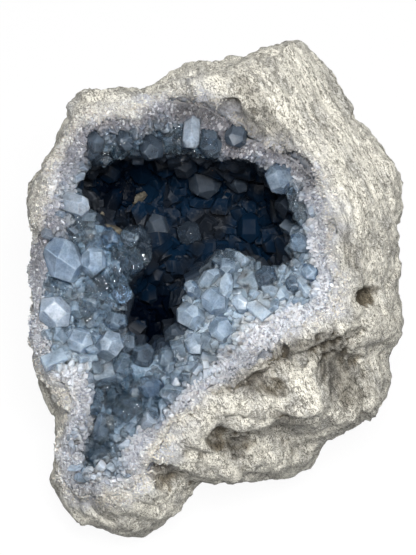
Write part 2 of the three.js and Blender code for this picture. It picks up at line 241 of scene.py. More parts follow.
def surface(start, shader, volume=None):
    out = start.tree.nodes.new("ShaderNodeOutputMaterial")
    start.tree.links.new(shader.output, out.inputs["Surface"])
    if volume:
        start.tree.links.new(volume.output, out.inputs["Volume"])


# %% [markdown]
# ## Floor
# A studio sweep: pale paper that lies flat under the rock and rises all round it, as a sphere does whose
# lower half is pressed flat. It glows, so that only a faint shadow shows on it, and only the camera sees
# it, so that the light on the rock comes from the lamps and the surroundings alone.

# %% Floor
def paper():
    material, start = blank("pale paper")
    plain = start.make("BsdfDiffuse", {}, {"Color": (0.8, 0.8, 0.8, 1)})
    glow = start.make("Emission", {}, {"Color": (1, 1, 1, 1), "Strength": 1.0})
    surface(start, start.make("MixShader", {}, {0: 0.94, 1: plain, 2: glow}))
    return material


shape = bmesh.new()
bmesh.ops.create_uvsphere(shape, u_segments=64, v_segments=32, radius=4)
for corner in shape.verts:
    corner.co.z = max(corner.co.z, 0)
bmesh.ops.remove_doubles(shape, verts=shape.verts, dist=MM)
sweep = meshed("sweep", shape)
shape.free()
sweep.data.materials.append(paper())
sweep.visible_diffuse = sweep.visible_glossy = sweep.visible_transmission = sweep.visible_shadow = False
print("a sweep", round(sweep.dimensions.x, 1), "m wide")

# %% [markdown]
# ## Search trees
# Much depends on how far a point is from something: crystals get finer towards the bare rock, and the
# lining sinks between the large ones. A BVH tree answers such questions in microseconds. A model piece is
# loose triangles, so a copy is merged first.

# %% Trees of the model's pieces
def merged(names):
    """One bmesh of these model pieces, with the loose triangles of each joined."""
    shape = bmesh.new()
    for name in names:
        shape.from_mesh(nodes[name].data)
    bmesh.ops.remove_doubles(shape, verts=shape.verts, dist=1e-6)
    return shape


def tree_of(shape):
    shape.faces.ensure_lookup_table()
    return BVHTree.FromBMesh(shape)


def smooth_step(low, high, x):
    t = np.clip((x - low) / (high - low), 0, 1)
    return t * t * (3 - 2 * t)


large_names = sorted(n for n in nodes if "crystal" in n or "cluster" in n)
splinter_names = sorted(n for n in nodes if "splinter" in n)
lining_shape = merged(["druse_lining"])
lining_tree = tree_of(lining_shape)
large_tree = tree_of(merged(large_names + splinter_names))
splinter_tree = tree_of(merged(splinter_names))
rock_shape = merged(["matrix"])
rock_tree = tree_of(rock_shape)
shell_tree = tree_of(merged(["matrix", "druse_lining"]))

# The rock that can be seen: its faces that neither lie against the lining nor look at it from close by.
TOUCHING = 0.8
FACING_GAP = 12.0


def behind_lining(face):
    middle = face.calc_center_median()
    beside = lining_tree.find_nearest(middle)[3] < TOUCHING * MM
    return beside or lining_tree.ray_cast(middle, face.normal, FACING_GAP * MM)[0] is not None


hidden = [face for face in rock_shape.faces if behind_lining(face)]
bare_shape = rock_shape.copy()
bare_shape.faces.ensure_lookup_table()
bmesh.ops.delete(bare_shape, geom=[bare_shape.faces[f.index] for f in hidden], context="FACES")
bare_tree = tree_of(bare_shape)
print(len(large_names), "large crystals,", len(hidden), "rock faces behind the lining")

# %% [markdown]
# ## The stone's relief
# Fresh breaks in this limestone are scooped and sandy, with ledges, pits and cracks; the long bevel on the
# right is striated from upper left to lower right. All of it is one sum, a height for any point in space.
# Flat chips that each lean their own way give the steps of broken stone. The minus sign and the absolute
# value turn soft hills into hollows with crests between them, and the highest crests are cut off, so that
# the rock keeps its size. Furrows and knobs are listed one by one, and so are the stains of the furrows,
# which are in part painted shade on undersides. The lining's edge follows the same heights, so rock and
# crust run into each other.

# %% Marks in the stone
BEVEL = Vector((0.5, 0.45, 0.74)).normalized()
STREAK = Vector((0.52, -0.85, 0.166)).normalized()
ACROSS = BEVEL.cross(STREAK)
BEVEL_FACING = (0.72, 0.93)  # how nearly a face looks the bevel's way where streaks begin and are full
BEVEL_START = (2.0, 22.0)  # how far to the right they do
MARKED_DEPTH = (-70, -40)  # how far behind the mouth the marks end and are full
MARKS = [
    # both ends of a furrow in the plane of the mouth, its half width, how deep it is,
    # and how dark its stain, in part painted shade, is
    ((-5, -33), (30, -32), 4, 4, 0.4),
    ((30, -32), (55, -28), 6, 3, 0.8),
    ((1, -50), (70, -22), 2.5, 2.5, 0.5),
    ((18, -46), (30, -49), 4, 4, 0.7),
    ((57, -36), (64, -50), 10, 3, 0.9),
    ((31, -63), (35, -67), 4, 1, 0.7),
    ((3, -75), (12, -78), 6, 3, 0.8),
    ((8, -44), (50, -28), 6, 0.8, 0.5),
    ((-64, -100), (-54, -108), 7, 0, 0.5),
    ((32, -66), (42, -78), 8, 1.2, 0.35),
    ((-27, -88), (-23, -93), 5, 3.5, 0.5),
    ((71, -4), (71, -6), 3.5, 4.5, 0.8),
    ((14, 95), (44, 50), 5, 1.5, 0.55),
    ((-16, 86), (8, 82), 7, 1, 0.6),
    ((10, 84), (20, 72), 4, 2, 0.8),
    ((36, 60), (44, 54), 3, 2, 0.5),
    ((56, 30), (66, 12), 4, 1.5, 0.4),
    # and knobs, which stand out instead
    ((22, -56), (46, -54), 9, -2.5, 0),
    ((62, -62), (72, -58), 7, -3, 0),
    ((-62, 86), (-62, 86), 8, -3, 0),
    ((-44, 89), (-42, 90), 8, -2.5, 0),
    ((-13, 99), (-10, 100), 9, -3, 0),
]
print(len(MARKS), "marks, worked in by hand")


def furrows(local):
    """How deep the marks are at points of the geode's frame, and how dark their stain and painted shade are.
    """
    flat = local[:, :2]
    ragged_edge = np.array([
        0.5 * noise.noise(Vector(p) / 5) + 0.3 * noise.noise(Vector(p) / 2) for p in local
    ])
    front = smooth_step(*MARKED_DEPTH, local[:, 2])
    depth = np.zeros(len(local))
    stain = np.zeros(len(local))
    for start, end, width, deep, dark in MARKS:
        run = np.subtract(end, start)
        along = np.clip((flat - start) @ run / max(run @ run, 1), 0, 1)
        off = np.linalg.norm(flat - start - along[:, None] * run, axis=1) / width + ragged_edge
        inside = np.exp(-np.maximum(off, 0) ** 4) * front
        depth += deep * inside
        stain = np.maximum(stain, dark * inside)
    return depth, stain


# %% Hollows, ledges and chips
LEDGE_STEP = 15.0
noise.seed_set(5)  # else noise_vector is seeded from the clock, and no two runs give the same chips


def hollows(place, depth):
    """Soft hollows, depth millimetres deep, with sharp crests between them."""
    return -depth * abs(noise.noise(place))


def drawn_out(p, length, width):
    """A point of a space that is squeezed along the streaks, so that noise there is drawn out."""
    return Vector((p.dot(STREAK) / length, p.dot(ACROSS) / width, p.dot(BEVEL) / width))


def ledge(p):
    """Rises slowly from 0 to 1 and breaks off downwards, step after step."""
    step = (p.y + 0.3 * p.x) / LEDGE_STEP + 0.9 * noise.noise(p / 17)
    part = step - math.floor(step)
    return min(part / 0.85, (1 - part) / 0.15)


def chipped(p, size, slope):
    """Flat chips about size millimetres wide, each leaning its own way, with sharp steps between them."""
    place = p / size + 0.25 * noise.noise_vector(p / (0.6 * size))
    gaps, seeds = noise.voronoi(place)
    height = slope * size * (place - seeds[0]).dot(noise.noise_vector(seeds[0] * 5.3))
    return height * min((gaps[1] - gaps[0]) / 0.2, 1)


# %% Relief
RAISED = 1.7  # makes good what the hollows take away
TALLEST = 1.9


def rock_relief(p, on_bevel):
    """How far the stone stands out at a point of the geode's frame, in millimetres."""
    scoops = hollows(p / 16, 3.4) + hollows(p / 6, 1.3)
    chips = chipped(p, 20, 0.42) + chipped(p, 8, 0.28) + chipped(p, 4, 0.2)
    ridges = hollows(drawn_out(p, 34, 7), 2.8) + hollows(drawn_out(p, 16, 2.8), 1.3)
    grain = 0.2 * noise.fractal(drawn_out(p, 5, 2.6), 0.5, 2.1, 2)
    broken = scoops + chips - 1.1 * ledge(p)
    shape = RAISED + (1 - on_bevel) * broken + on_bevel * (ridges + 0.35 * scoops + 0.3 * chips)
    return min(shape, TALLEST) + grain


def relief_at(points, ways):
    """The relief at points of the room, and how dark their stain and painted shade are."""
    local = in_geode(points)
    facing = ways @ np.array(towards(BEVEL))
    bevel = smooth_step(*BEVEL_FACING, facing) * smooth_step(*BEVEL_START, local[:, 0])
    relief = np.array([rock_relief(Vector(p), b) for p, b in zip(local, bevel)])
    depth, stain = furrows(local)
    return relief - depth, stain


# %% [markdown]
# ## Where the small crystals stand
# A druse is crowded: crystals start from every point of the wall, and the ones that find room grow large.
# Next to the bare rock they stay as fine as sugar, and a few grains stray onto the stone. So points are
# thrown at random on the lining and on the stone beside it, and one is kept only where its crystal still
# finds room. The band of fine crust is widest on the lower lip. No crystal covers a splinter, and fewer
# grains stand where the stone's marks carry stain or painted shade.

# %% Throwing points
SEED = 11
dice = np.random.default_rng(SEED)


def thrown(shape, count):
    """Random points on a shape, evenly by area, with the normals there."""
    bmesh.ops.triangulate(shape, faces=shape.faces)
    corners = np.array([[v.co for v in face.verts] for face in shape.faces])
    normals = np.array([face.normal for face in shape.faces])
    areas = np.array([face.calc_area() for face in shape.faces])
    picked = dice.choice(len(areas), count, p=areas / areas.sum())
    u, v = dice.random((2, count))
    flip = u + v > 1
    u[flip], v[flip] = 1 - u[flip], 1 - v[flip]
    a, b, c = corners[picked].transpose(1, 0, 2)
    return a + u[:, None] * (b - a) + v[:, None] * (c - a), normals[picked]


def distances(tree, points):
    """How far each point is from a tree's surface, in millimetres."""
    return np.array([tree.find_nearest(p)[3] / MM for p in points])


def ways_from(tree, points):
    """For each point, the direction away from the nearest point of a tree's surface."""
    gap = points - np.array([tree.find_nearest(p)[0] for p in points])
    return gap / np.maximum(np.linalg.norm(gap, axis=1), 1e-9)[:, None]


def ragged(points, size):
    """Noise with features about size millimetres apart, -1 to 1."""
    return np.array([noise.noise(Vector(p) / (size * MM)) for p in points])


# %% Where the wall is crust
CRUST_REACH = (15.0, 2.0)  # how far from the bare stone the crust ends, and is closed
CRUST_DEPTH = (-34, -20)  # how far behind the mouth it ends, and is full
LEFT_SIDE = -58.0  # the flank is further left than this
WIDE_CRUST = [
    # patches of wider crust: middle in the plane of the mouth, width, and how much wider
    ((5, 75), 45, 4),
    ((25, -22), 30, 12),
    ((52, 10), 22, 2),
    ((-66, -60), 22, 4),
    ((-40, -76), 14, 9),
    ((-32, -60), 14, 5),
    ((-20, -72), 20, 3),
]


def patched(patches, points):
    """The sum of some soft patches, round in the plane of the mouth, at points of the room."""
    flat = in_geode(points)[:, :2]
    total = np.zeros(len(flat))
    for middle, width, change in patches:
        total += change * np.exp(-(np.linalg.norm(flat - middle, axis=1) / width) ** 2)
    return total


def on_flank(points, ways):
    """1 on the left flank, where the lining shows from outside, and 0 elsewhere."""
    left = -np.array(towards((1, 0, 0)))
    return smooth_step(0.0, 0.4, ways @ left) * (in_geode(points)[:, 0] < LEFT_SIDE)


def crust_share(points, ways, reach):
    """1 where fine crust covers the wall and 0 where crystals have taken over."""
    wander = 9 * ragged(points, 13) + 4 * ragged(points, 5)
    share = smooth_step(*CRUST_REACH, reach + wander - patched(WIDE_CRUST, points))
    share *= smooth_step(*CRUST_DEPTH, in_geode(points)[:, 2])
    return np.maximum(share, on_flank(points, ways))


# %% Spots on the lining
LINING_THROWS = 130000
CONTACT = 0.6
shown_shape = lining_shape.copy()
contact = [
    face for face in shown_shape.faces
    if max(rock_tree.find_nearest(v.co)[3] for v in face.verts) < CONTACT * MM
    and rock_tree.find_nearest(face.calc_center_median())[3] < CONTACT * MM
]
bmesh.ops.delete(shown_shape, geom=contact, context="FACES")
spots, ways = thrown(shown_shape, LINING_THROWS)
free = (distances(rock_tree, spots) > CONTACT) & (distances(large_tree, spots) > CONTACT)
spots, ways = spots[free], ways[free]
reach = distances(bare_tree, spots)
away = ways_from(bare_tree, spots)
print(len(spots), "points on the lining")

# %% Stray spots on the stone
STRAY = 9.0  # how far grains stray onto the stone
STONE_THROWS = 90000
rim_shape = bare_shape.copy()
beyond = [
    face for face in rim_shape.faces
    if min(lining_tree.find_nearest(v.co)[3] for v in face.verts) > 2 * STRAY * MM
]
bmesh.ops.delete(rim_shape, geom=beyond, context="FACES")
stone_spots, stone_ways = thrown(rim_shape, STONE_THROWS)
off = distances(lining_tree, stone_spots)
odds = np.clip(1 - off / STRAY, 0, 1) ** 1.3 * (0.6 + 1.2 * ragged(stone_spots, 7))
odds *= 1 - furrows(in_geode(stone_spots))[1]
stray = dice.random(len(off)) < odds
stone_spots, stone_ways, off = stone_spots[stray], stone_ways[stray], off[stray]
print(len(stone_spots), "points on the stone")

# %% How wide each crystal is
GRAIN_WIDTH = 0.95
CRYSTAL_WIDTH = 3.1
FAR_CRYSTAL_WIDTH = 5.2
FAR = (-25.0, -50.0)  # how far behind the mouth crystals begin to be, and are, far ones
FAR_REACH = (8.0, 16.0)  # and how far from the bare stone
STONE_REACH = (3.0, -7.0)  # how far from the bare stone, or out on it, crust begins to be, and is, all stone
STONY = [
    # patches of crust that is full of stone: middle, width, and how full
    ((-28, -72), 16, 9),
    ((-78, -56), 10, 8),
    ((-50, -100), 14, 6),
]
STOUT = [
    # patches of wider crystals: middle, width, and how much wider
    ((12, 4), 26, 2.0),
    ((-40, -46), 22, 2.4),
    ((-59, -78), 11, 1.6),
]
CLEARANCE = 0.3  # how far a crystal stays from the large ones, as a share of its width
SPLINTER_CLEARANCE = 3.0
SPLINTER_MARGIN = 2.5
SPLINTER_DEPTH = 0.04


def over_splinter(point):
    """Whether a crystal that stands at a point would cover a splinter."""
    ways = ((0, 0, 0), (1, 0, 0), (-1, 0, 0), (0, 1, 0), (0, -1, 0))
    starts = [Vector(point) + towards(way) * SPLINTER_MARGIN * MM for way in ways]
    inwards = towards((0, 0, -1))
    return any(splinter_tree.ray_cast(start, inwards, SPLINTER_DEPTH)[0] is not None for start in starts)


spots = np.concatenate([spots, stone_spots])
ways = np.concatenate([ways, stone_ways])
reach = np.concatenate([reach, -off])
away = np.concatenate([away, -ways_from(lining_tree, stone_spots)])
crust = crust_share(spots, ways, reach)
stone = smooth_step(*STONE_REACH, reach + 3 * ragged(spots, 5) - patched(STONY, spots))
far = smooth_step(*FAR, in_geode(spots)[:, 2]) * smooth_step(*FAR_REACH, reach)
free_width = CRYSTAL_WIDTH + (FAR_CRYSTAL_WIDTH - CRYSTAL_WIDTH) * far
free_width += patched(STOUT, spots) * (1 - far)
widths = GRAIN_WIDTH + (free_width - GRAIN_WIDTH) * (1 - crust)
widths *= np.exp((0.2 + 0.2 * (1 - crust)) * np.clip(dice.standard_normal(len(spots)), -2, 2))
widths *= 1 - 0.3 * smooth_step(0, -STRAY, reach)
to_splinters = distances(splinter_tree, spots) - SPLINTER_CLEARANCE
beside = np.minimum(distances(large_tree, spots), to_splinters)
roomy = (beside > CLEARANCE * widths) & ~np.array([over_splinter(p) for p in spots])
spots, ways, away, reach, crust, stone, widths = (
    values[roomy] for values in (spots, ways, away, reach, crust, stone, widths)
)
print(len(spots), "points are clear of the large crystals")

# %% Room for each crystal
LEAST_CRYSTAL = 1.8
SPACING = 0.54


def with_room(chosen):
    """Of these spots, the ones whose crystals find room, the widest first."""
    cell = widths[chosen].max() * SPACING * MM
    homes = np.floor(spots / cell).astype(int)
    grid = {}
    kept = []
    for i in chosen[np.argsort(-widths[chosen])]:
        x, y, z = homes[i]
        near = [
            j for dx in (-1, 0, 1) for dy in (-1, 0, 1) for dz in (-1, 0, 1)
            for j in grid.get((x + dx, y + dy, z + dz), ())
        ]
        room = SPACING * (widths[near] + widths[i]) / 2 * MM
        if near and (np.linalg.norm(spots[near] - spots[i], axis=1) < room).any():
            continue
        grid.setdefault((x, y, z), []).append(i)
        kept.append(i)
    return np.array(kept)


def search_tree(points):
    tree = KDTree(len(points))
    for i, point in enumerate(points):
        tree.insert(point, i)
    tree.balance()
    return tree


crystals = with_room(np.flatnonzero(widths > LEAST_CRYSTAL))
crystal_tree = search_tree(spots[crystals])
nearest = [crystal_tree.find(p) for p in spots]
inside = np.array([gap / MM < 0.4 * widths[crystals[i]] for _, i, gap in nearest])
grains = with_room(np.flatnonzero((widths <= LEAST_CRYSTAL) & ~inside))
kept = np.concatenate([crystals, grains])
spots, ways, away, reach, crust, stone, widths = (
    values[kept] for values in (spots, ways, away, reach, crust, stone, widths)
)
crystals = np.arange(len(crystals))
grains = np.arange(len(crystals), len(kept))
print(len(crystals), "small crystals and", len(grains), "grains of crust")

# The edge of the lining stands and sinks with the stone's relief.
RIM_BLEND = (9.0, 1.0)
spots += ways * (relief_at(spots, ways)[0] * smooth_step(*RIM_BLEND, reach))[:, None] * MM

# %% [markdown]
# ## How deep each crystal sits
# Deep in the pit hardly any light returns, and that shade is painted into the crystals' colour. How dark a
# place is depends on how much of the sky it sees, so a few rays are sent from each spot towards the mouth
# and counted as they escape; a few patches are painted darker and one lighter, and the top rim paints its
# shadow below it. How clear the crystals are varies too: they are clearest on the mound at the left, in
# the channel and under the top rim, and milkiest on the lower lip. The bed and the large crystals then read
# the values of the nearest spot.

# %% Openness
UPWARDS = Matrix.Rotation(math.radians(-32), 3, "X")  # from straight out of the mouth towards its upper rim


def sky():
    """Directions spread over the part of the sky that the light comes from."""
    ways = []
    for ring, count in ((10, 4), (25, 8), (42, 12)):
        for turn in range(count):
            around = Matrix.Rotation(math.tau * turn / count, 3, "Z")
            tilt = Matrix.Rotation(math.radians(ring), 3, "X")
            ways.append(towards(UPWARDS @ around @ tilt @ Vector((0, 0, 1))))
    return ways


SKY = sky()


def openness(point, normal):
    start = Vector(point) + Vector(normal) * 2 * MM
    return sum(shell_tree.ray_cast(start, way)[0] is None for way in SKY) / len(SKY)


DARK_DEPTH = (-66.0, -20.0)  # from the deep to where no darkening is left, below the plane of the mouth
SHADED_DEPTH = (-8.0, -24.0)  # above the first of these nothing is darkened by depth
LEAST_OPEN = 0.2
DEEP_LIGHT = 0.15  # the share of the light that is left in the deep
LIGHT_AND_SHADE_PATCHES = [
    # patches of painted shade: middle, width, and how dark, or how bright, painted light, where it is below 0
    ((-30, -18), 15, 1.4),
    ((-50, 50), 12, 0.6),
    ((-6, 62), 30, -1.5),
]
UNDER_RIM = (42.0, 66.0)  # how high up the shadow of the top rim begins and is full
RIM_SHADE = 0.2


def light_at(points, ways, outside):
    """How bright each point is, 1 in the open, from where it is and how far outside the hollow it lies."""
    # This brightness is painted into the crystals' colour as shade.
    _, height, depth = in_geode(points).T
    open_share = np.maximum([openness(p, n) for p, n in zip(points, ways)], LEAST_OPEN)
    dim = open_share * (DEEP_LIGHT + (1 - DEEP_LIGHT) * smooth_step(*DARK_DEPTH, depth))
    dim *= 1 - np.clip(patched(LIGHT_AND_SHADE_PATCHES, points), -2, 1)
    under_rim = 1 - RIM_SHADE * smooth_step(*UNDER_RIM, height)
    return under_rim * (1 - (1 - dim) * smooth_step(*SHADED_DEPTH, depth) * (1 - outside))


light = light_at(spots, ways, np.maximum(on_flank(spots, ways), reach < 0))
stain = furrows(in_geode(spots))[1]
print("light from", light.min().round(2), "to", light.max().round(2))

# %% Milkiness
PATCHES = [
    # milky patches: middle, width, and how milky, or how clear where it is below 0
    ((-44, 2), 24, -0.5),
    ((-46, -50), 18, -0.4),
    ((-59, -76), 11, -0.4),
    ((-48, 78), 16, -0.8),
    ((48, -6), 14, 0.5),
    ((-72, -40), 14, 0.4),
    ((-73, -86), 11, 0.4),
    ((4, -14), 26, 0.4),
    ((-66, 12), 10, 0.3),
    ((-82, 18), 16, -0.6),
    ((-70, 62), 16, -0.4),
    ((-56, -32), 12, 0.4),
    ((-20, 60), 34, -0.4),
    ((30, 70), 34, -0.3),
    ((5, 84), 40, -0.5),
    ((36, -16), 20, 0.4),
]


def milkiness(points):
    """How milky the crystals are, 0 to 1."""
    milk = 0.6 + patched(PATCHES, points)
    return np.clip(milk + 0.25 * ragged(points, 12), 0, 1)


milk = milkiness(spots)
print("milkiness from", milk.min().round(2), "to", milk.max().round(2))
spot_tree = search_tree(spots)


def nearest_spots(points):
    """For each point, its nearest spot."""
    return np.array([spot_tree.find(p)[1] for p in points])


def looks_of(owners):
    """What the material has to know about these spots."""
    looks = {"crust": crust, "stone": stone, "light": light, "milk": milk, "stain": stain}
    return {name: values[owners] for name, values in looks.items()}


# %% [markdown]
# ## Crystal shapes
# Celestite grows as stout blades, closed by roof-like faces. A crystal is ground out of a block: each face
# is a plane, and `bisect_plane` takes away what lies beyond it. A narrow bevel wears the edges, so that
# they catch the light. A few dozen shapes, scaled and turned, are enough for thousands of crystals, and
# each keeps note of which triangles make up one face.

# %% Grinding a crystal
FACES = {
    "broad": (1, 0, 0),
    "flank": (0, 1, 0),
    "side": (0.614, 0.789, 0),
    "roof": (0, 0.616, 0.788),
    "gable": (0.773, 0, 0.634),
    "top": (0, 0, 1),
}
HABITS = [
    {"broad": 0.34, "side": 0.5, "roof": 0.0, "gable": 0.06},
    {"broad": 0.5, "side": 0.44, "roof": -0.02, "gable": 0.2},
    {"broad": 0.4, "flank": 0.5, "roof": 0.02, "top": -0.12},
    {"broad": 0.46, "side": 0.46, "roof": 0.02, "gable": 0.06, "top": -0.18},
]
GRAIN_HABITS = [
    {"broad": 0.42, "flank": 0.36, "roof": 0.0},
    {"broad": 0.34, "flank": 0.44, "gable": 0.05},
    {"side": 0.42, "gable": 0.0},
]
WORN = 99  # the number that worn edges have in place of a face's own


def ground(shape, way, distance):
    """Grinds a flat face: what lies beyond the plane is removed and the cut is closed."""
    normal = Vector(way).normalized()
    geometry = shape.verts[:] + shape.edges[:] + shape.faces[:]
    cut = bmesh.ops.bisect_plane(
        shape, geom=geometry, plane_co=normal * distance, plane_no=normal, clear_outer=True
    )["geom_cut"]
    edges = [part for part in cut if isinstance(part, bmesh.types.BMEdge)]
    if edges:
        bmesh.ops.edgeloop_fill(shape, edges=edges)


def wear(shape, width):
    """Numbers the faces and then bevels all edges."""
    for number, face in enumerate(shape.faces):
        face.material_index = number % WORN
    if width:
        worn = bmesh.ops.bevel(
            shape, geom=shape.edges[:], offset=width, affect="EDGES", segments=1, profile=0.5,
            clamp_overlap=True, material=-1,
        )["faces"]
        for face in worn:
            face.material_index = WORN


def crystal(habit, length, bevel):
    """Vertices, triangles and face numbers of a crystal 1 wide that grows along +Z from z = -0.6."""
    shape = bmesh.new()
    bmesh.ops.create_cube(shape, size=2)
    bmesh.ops.scale(shape, vec=(1, 1, (length + 1.6) / 2), verts=shape.verts)
    bmesh.ops.translate(shape, vec=(0, 0, (length + 1.6) / 2 - 0.6), verts=shape.verts)
    for face, distance in habit.items():
        x, y, z = FACES[face]
        turned = {(sx * x, sy * y, z) for sx in (-1, 1) for sy in (-1, 1)}
        for way in sorted(turned):
            wobble = dice.uniform(-0.14, 0.14)
            ground(shape, way, z * length + distance + wobble)
    bmesh.ops.recalc_face_normals(shape, faces=shape.faces)
    wear(shape, bevel)
    bmesh.ops.triangulate(shape, faces=shape.faces)
    vertices = np.array([v.co for v in shape.verts])
    triangles = np.array([[v.index for v in face.verts] for face in shape.faces])
    numbers = np.array([face.material_index for face in shape.faces])
    shape.free()
    # Triangulating leaves the faces in an order that differs from run to run, so they are put in one of ours.
    turn = triangles.argmin(axis=1)[:, None] + np.arange(3)
    triangles = np.take_along_axis(triangles, turn % 3, axis=1)
    order = np.lexsort(triangles.T)
    return vertices, triangles[order], numbers[order]


def shapes(habits, lengths, bevel):
    return [crystal(habit, length, bevel) for habit in habits for length in lengths]


grain_shapes = shapes(GRAIN_HABITS, (0.4, 0.7, 1.3), 0)
shard_shapes = shapes(HABITS, (0.4, 0.7, 1.1), 0)
worn_shapes = shapes(HABITS, (0.3, 0.6, 0.9), 0.06)
for title, group in (("grain", grain_shapes), ("shard", shard_shapes), ("worn crystal", worn_shapes)):
    print("a", title, "has", len(group[0][1]), "triangles")

# %% [markdown]
# ## Planting the small crystals
# The copies of one shape are scaled, turned and moved in one go, as arrays, and are then joined in a few
# meshes. Crust grows away from the bare stone, so its grains lie along the wall; the free crystals stand up
# from it. The vertices carry numbers for the material, and so do the faces, because each face of a crystal
# mirrors another part of the room: each face's random tone is in part a painted reflection. A random
# number at each vertex gives the facets soft gradients, as depths inside a clear crystal do.

# %% Turns and numbers
inner_tones = np.random.default_rng(SEED + 1)


def turns(ways, tilt):
    """For each direction, axes whose third is the direction tilted at random, turned at random about it."""
    third = ways + tilt * dice.standard_normal(ways.shape)
    third /= np.linalg.norm(third, axis=1)[:, None]
    first = np.cross(third, dice.standard_normal(ways.shape))
    first /= np.linalg.norm(first, axis=1)[:, None]
    return np.stack([first, np.cross(third, first), third], axis=2)


def add_numbers(mesh, domain, **numbers):
    """Stores a number a vertex, or a face, under each name."""
    for name, values in numbers.items():
        store = mesh.attributes.new(name, "FLOAT", domain)
        store.data.foreach_set("value", np.asarray(values, dtype=np.float32))


# %% Planting
def planted(name, chosen, group, tilt, sink):
    """One piece of the chosen spots' crystals."""
    axes = turns(growth[chosen], tilt)
    kind = dice.integers(len(group), size=len(chosen))
    stretch = dice.uniform(0.7, 1.35, (len(chosen), 3))
    tints = dice.random(len(chosen))
    rows = []
    first = 0
    for k, (vertices, triangles, numbers) in enumerate(group):
        mine = np.flatnonzero(kind == k)
        size = widths[chosen[mine], None] * MM
        local = vertices[None] * (stretch[mine] * size)[:, None, :]
        local[:, :, 2] -= sink * size
        corners = np.einsum("nij,nvj->nvi", axes[mine], local) + spots[chosen[mine], None]
        steps = first + len(vertices) * np.arange(len(mine))
        # Each face's random tone is in part a painted reflection.
        tones = dice.random((len(mine), WORN + 1))[:, numbers]
        rows.append((
            corners.reshape(-1, 3), (triangles[None] + steps[:, None, None]).reshape(-1, 3),
            np.repeat(chosen[mine], len(vertices)), np.repeat(tints[mine], len(vertices)),
            tones.ravel(), np.tile(numbers == WORN, len(mine)),
        ))
        first += len(vertices) * len(mine)
    points, faces, owners, tint, tones, worn = (np.concatenate(column) for column in zip(*rows))
    mesh = bpy.data.meshes.new(name)
    mesh.from_pydata(points, [], faces)
    add_numbers(mesh, "POINT", tint=tint, inner=inner_tones.random(len(points)), **looks_of(owners))
    add_numbers(mesh, "FACE", facet=tones, worn=worn)
    piece = placed(name, mesh)
    print(name, "has", len(chosen), "crystals and", len(faces), "triangles")
    return piece


# %% Worn edges
def modifier(piece, kind, **settings):
    """Adds a modifier of a kind, with these settings."""
    added = piece.modifiers.new(kind.lower(), kind)
    for name, value in settings.items():
        setattr(added, name, value)


def applied(piece, name):
    """Gives the piece the mesh that its modifiers make, and removes the modifiers."""
    graph = bpy.context.evaluated_depsgraph_get()
    fine = bpy.data.meshes.new_from_object(piece.evaluated_get(graph))
    piece.modifiers.clear()
    piece.data = fine
    fine.name = name


def rounded(piece):
    """Shades the worn edges round and the faces flat."""
    piece.data.polygons.foreach_set("use_smooth", [True] * len(piece.data.polygons))
    modifier(piece, "WEIGHTED_NORMAL", mode="FACE_AREA", weight=100)
    applied(piece, piece.data.name)


# %% The small crystals in four meshes
COARSE = 3.2  # wider crystals than this have worn edges
lying = (crust * (1 - 0.5 * stone))[:, None]
growth = (0.9 - 0.4 * lying) * ways + (0.25 + 0.75 * lying) * away
is_coarse = widths[crystals] > COARSE
is_upper = in_geode(spots[grains])[:, 1] > 0
small_pieces = [
    planted("fine_druse_upper", grains[is_upper], grain_shapes, 0.5, 0.3),
    planted("fine_druse_lower", grains[~is_upper], grain_shapes, 0.5, 0.3),
    planted("middle_druse", crystals[~is_coarse], shard_shapes, 0.6, 0.3),
    planted("coarse_druse", crystals[is_coarse], worn_shapes, 0.7, 0.4),
]
rounded(small_pieces[-1])

# %% [markdown]
# ## Fine surfaces for rock and lining
# The model's rock is faceted, with the right lumps and ledges but no grain. A voxel remesh rebuilds it from
# even faces, a Smooth modifier can round the facets that show, and each vertex is then moved along its
# normal. Such relief, unlike a bump in the material, also breaks up the silhouette and casts real shadows.
# Where rock and lining lie against each other, a Decimate modifier takes most faces away again.

# %% Remeshing
HIDDEN_KEPT = 0.08
HIDDEN_GAP = 0.7


def vertex_arrays(mesh):
    """A mesh's vertices and vertex normals."""
    places = np.empty(3 * len(mesh.vertices))
    normals = np.empty(3 * len(mesh.vertices), np.float32)
    mesh.vertices.foreach_get("co", places)
    mesh.vertex_normals.foreach_get("vector", normals)
    return places.reshape(-1, 3), normals.reshape(-1, 3)


def remeshed(name, shape, voxel, other_tree, softness):
    """A piece with the shape's surface from faces about voxel millimetres wide, few where it is hidden."""
    piece = meshed(name, shape)
    modifier(piece, "REMESH", mode="VOXEL", voxel_size=voxel * MM, use_smooth_shade=True)
    applied(piece, name)
    hidden = np.flatnonzero(distances(other_tree, vertex_arrays(piece.data)[0]) < HIDDEN_GAP)
    group = piece.vertex_groups.new(name="hidden")
    group.add(hidden.tolist(), 1.0, "REPLACE")
    modifier(piece, "SMOOTH", iterations=softness, vertex_group="hidden", invert_vertex_group=True)
    kept_share = 1 - (1 - HIDDEN_KEPT) * len(hidden) / len(piece.data.vertices)
    modifier(piece, "DECIMATE", vertex_group="hidden", ratio=kept_share)
    applied(piece, name)
    piece.vertex_groups.clear()
    print(name, "has", len(piece.data.polygons), "faces")
    return piece


# %% [markdown]
# ## The rock
# The relief is worked into the remeshed rock. It fades out towards the resting flat, which is worn and has
# to stay flat, and where the rock lies behind the lining.

# %% Rock
ROCK_VOXEL = 1.3
ROCK_SOFTNESS = 5
WORN_HEIGHT = (1, 26)  # how high over the floor the relief begins and is full
BARE_GAP = (2.5, 0.5)  # how far from the rock's bare faces a vertex begins to be, and is, bare itself
rock = remeshed("limestone_rock", rock_shape, ROCK_VOXEL, lining_tree, ROCK_SOFTNESS)
points, normals = vertex_arrays(rock.data)
to_lining = distances(lining_tree, points)
shown = smooth_step(*BARE_GAP, distances(bare_tree, points))
relief, rock_stain = relief_at(points, normals)
relief *= shown * smooth_step(*WORN_HEIGHT, points[:, 2] / MM)
points += normals * relief[:, None] * MM
points[:, 2] = np.maximum(points[:, 2], 0)
rock.data.vertices.foreach_set("co", points.ravel())
rock.data.update()
print("the relief runs from", relief.min().round(1), "to", relief.max().round(1), "mm")
